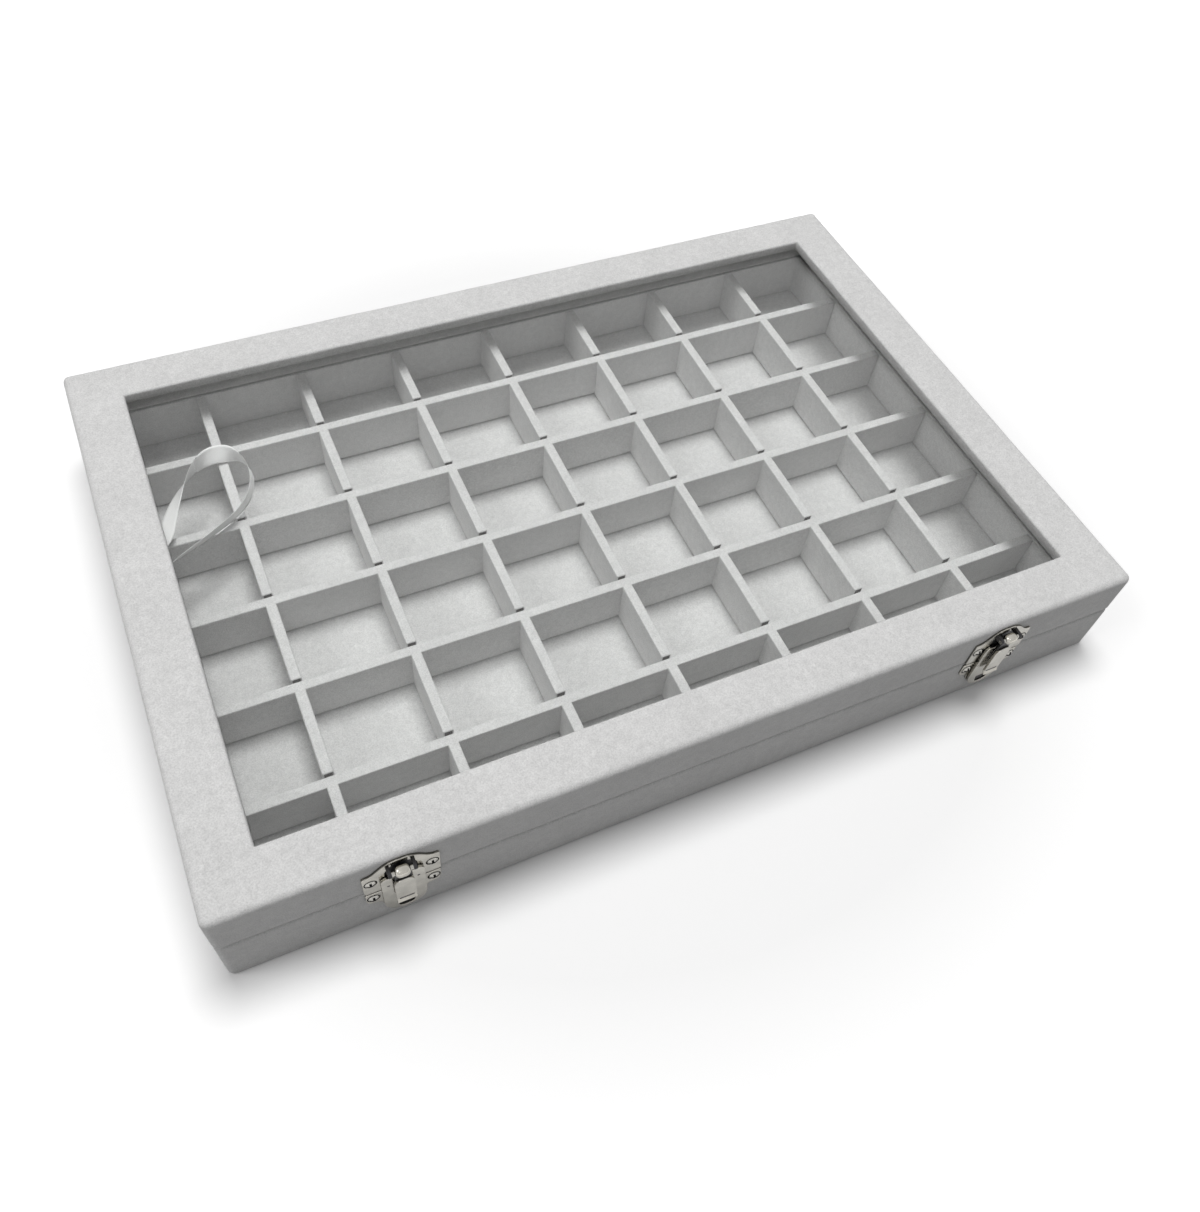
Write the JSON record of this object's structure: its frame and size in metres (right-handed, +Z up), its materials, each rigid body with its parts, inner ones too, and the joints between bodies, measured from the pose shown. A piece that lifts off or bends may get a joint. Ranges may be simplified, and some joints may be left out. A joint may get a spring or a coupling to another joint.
{
  "type": "jewelry organizer box",
  "caption": "Velvet covered jewelry case with a hinged glass lid, snap latches on the front, a ribbon lid stay and a tray divided into small open compartments.",
  "frame": {"origin": "centre of the underside that the case rests on", "axes": "+X along the long front to the right, +Y from the latches to the hinges, +Z up"},
  "size_m": [0.35, 0.2492, 0.045],
  "materials": {
    "grey_velvet": "short pile velvet",
    "fibreboard": "raw fibreboard",
    "clear_glass": "polished",
    "bright_nickel": "bright nickel plate",
    "satin_ribbon": "satin weave",
    "underside_cloth": "plain cloth"
  },
  "bodies": {
    "base": {"base_underside_cover": "underside_cloth", "base_bottom_board": "fibreboard", "base_front_board": "fibreboard", "base_back_board": "fibreboard", "base_left_board": "fibreboard", "base_right_board": "fibreboard", "base_velvet_wrap": "grey_velvet", "base_wall_lining": "grey_velvet", "base_floor_sheet": "grey_velvet", "long_divider_1": "grey_velvet", "long_divider_2": "grey_velvet", "long_divider_3": "grey_velvet", "long_divider_4": "grey_velvet", "long_divider_5": "grey_velvet", "cross_divider_1": "grey_velvet", "cross_divider_2": "grey_velvet", "cross_divider_3": "grey_velvet", "cross_divider_4": "grey_velvet", "cross_divider_5": "grey_velvet", "cross_divider_6": "grey_velvet", "cross_divider_7": "grey_velvet", "latch_keeper_left": "bright_nickel", "hinge_lower_leaf_left": "bright_nickel", "hinge_pin_left": "bright_nickel", "latch_keeper_screw_left_1": "bright_nickel", "latch_keeper_screw_left_2": "bright_nickel", "hinge_lower_screw_left_1": "bright_nickel", "hinge_lower_screw_left_2": "bright_nickel", "latch_keeper_right": "bright_nickel", "hinge_lower_leaf_right": "bright_nickel", "hinge_pin_right": "bright_nickel", "latch_keeper_screw_right_1": "bright_nickel", "latch_keeper_screw_right_2": "bright_nickel", "hinge_lower_screw_right_1": "bright_nickel", "hinge_lower_screw_right_2": "bright_nickel", "lid_stay_ribbon": "satin_ribbon"},
    "lid": {"lid_front_board": "fibreboard", "lid_back_board": "fibreboard", "lid_left_board": "fibreboard", "lid_right_board": "fibreboard", "window_frame_board": "fibreboard", "lid_velvet_wrap": "grey_velvet", "glass_pane": "clear_glass", "lid_wall_lining": "grey_velvet", "latch_plate_left": "bright_nickel", "latch_pin_left": "bright_nickel", "hinge_upper_leaf_left": "bright_nickel", "latch_plate_screw_left_1": "bright_nickel", "latch_plate_screw_left_2": "bright_nickel", "hinge_upper_screw_left_1": "bright_nickel", "hinge_upper_screw_left_2": "bright_nickel", "latch_plate_right": "bright_nickel", "latch_pin_right": "bright_nickel", "hinge_upper_leaf_right": "bright_nickel", "latch_plate_screw_right_1": "bright_nickel", "latch_plate_screw_right_2": "bright_nickel", "hinge_upper_screw_right_1": "bright_nickel", "hinge_upper_screw_right_2": "bright_nickel"},
    "lever_left": {"latch_lever_left": "bright_nickel"},
    "lever_right": {"latch_lever_right": "bright_nickel"}
  },
  "joints": [
    {"name": "lid_hinge", "type": "hinge", "parent": "base", "child": "lid", "pos_m": [0, 0.1222, 0.0247], "axis": [-1, 0, 0], "range_deg": [0, 95], "deforming": ["lid_stay_ribbon"]},
    {"name": "latch_lever_left_hinge", "type": "hinge", "parent": "lid", "child": "lever_left", "pos_m": [-0.116, -0.1231, 0.0397], "axis": [-1, 0, 0], "range_deg": [-1.5, 100]},
    {"name": "latch_lever_right_hinge", "type": "hinge", "parent": "lid", "child": "lever_right", "pos_m": [0.116, -0.1231, 0.0397], "axis": [-1, 0, 0], "range_deg": [-1.5, 100]}
  ]
}
